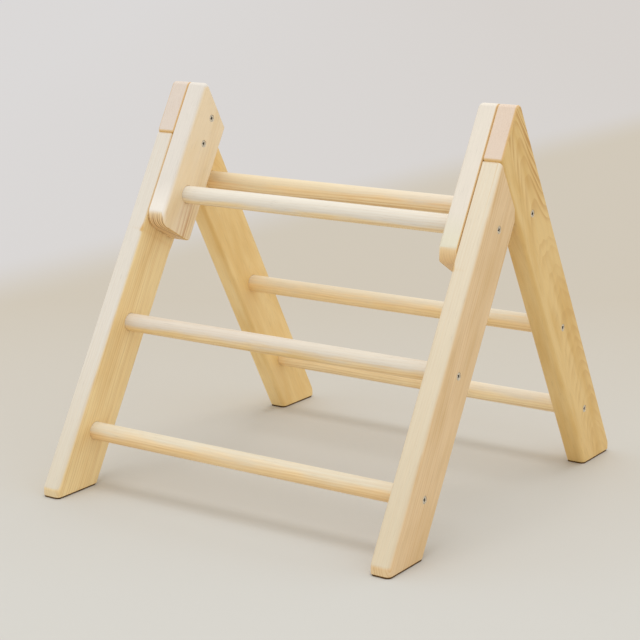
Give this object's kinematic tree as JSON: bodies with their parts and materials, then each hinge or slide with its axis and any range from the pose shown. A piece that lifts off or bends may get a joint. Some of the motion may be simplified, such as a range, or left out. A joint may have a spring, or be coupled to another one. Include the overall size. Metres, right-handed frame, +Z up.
{
  "type": "folding climbing triangle",
  "caption": "Low wooden climbing triangle for toddlers: a front and a rear rung ladder meet in an apex, and the front ladder folds flat against the rear one about its top rung.",
  "frame": {"origin": "on the floor, at the centre of the footprint, under the apex", "axes": "+X along the rungs to the right-hand side, -Y the front ladder's side, +Y the rear ladder's side, +Z up"},
  "size_m": [0.508, 0.5634, 0.492],
  "materials": {
    "rail_wood": "clear-finished pine, satin",
    "cheek_wood": "clear-finished pine, satin",
    "rung_wood": "clear-finished turned wood, satin",
    "screw_zinc": "zinc-plated steel",
    "foot_pad": "matt dark anti-slip pad"
  },
  "bodies": {
    "rear_frame": {"rear_rail_left": "rail_wood", "rear_rail_right": "rail_wood", "cheek_board_left": "cheek_wood", "cheek_board_right": "cheek_wood", "rear_top_rung": "rung_wood", "rear_middle_rung": "rung_wood", "rear_bottom_rung": "rung_wood", "rear_rung_screws_left": "screw_zinc", "rear_rung_screws_right": "screw_zinc", "cheek_screws_left": "screw_zinc", "cheek_screws_right": "screw_zinc", "rear_foot_pad_left": "foot_pad", "rear_foot_pad_right": "foot_pad"},
    "front_ladder": {"front_rail_left": "rail_wood", "front_rail_right": "rail_wood", "front_top_rung": "rung_wood", "front_middle_rung": "rung_wood", "front_bottom_rung": "rung_wood", "front_rung_screws_left": "screw_zinc", "front_rung_screws_right": "screw_zinc", "front_foot_pad_left": "foot_pad", "front_foot_pad_right": "foot_pad"}
  },
  "joints": [
    {"name": "fold", "type": "hinge", "parent": "rear_frame", "child": "front_ladder", "pos_m": [0, -0.04475, 0.3525], "axis": [1, 0, 0], "range_deg": [0, 60]}
  ]
}
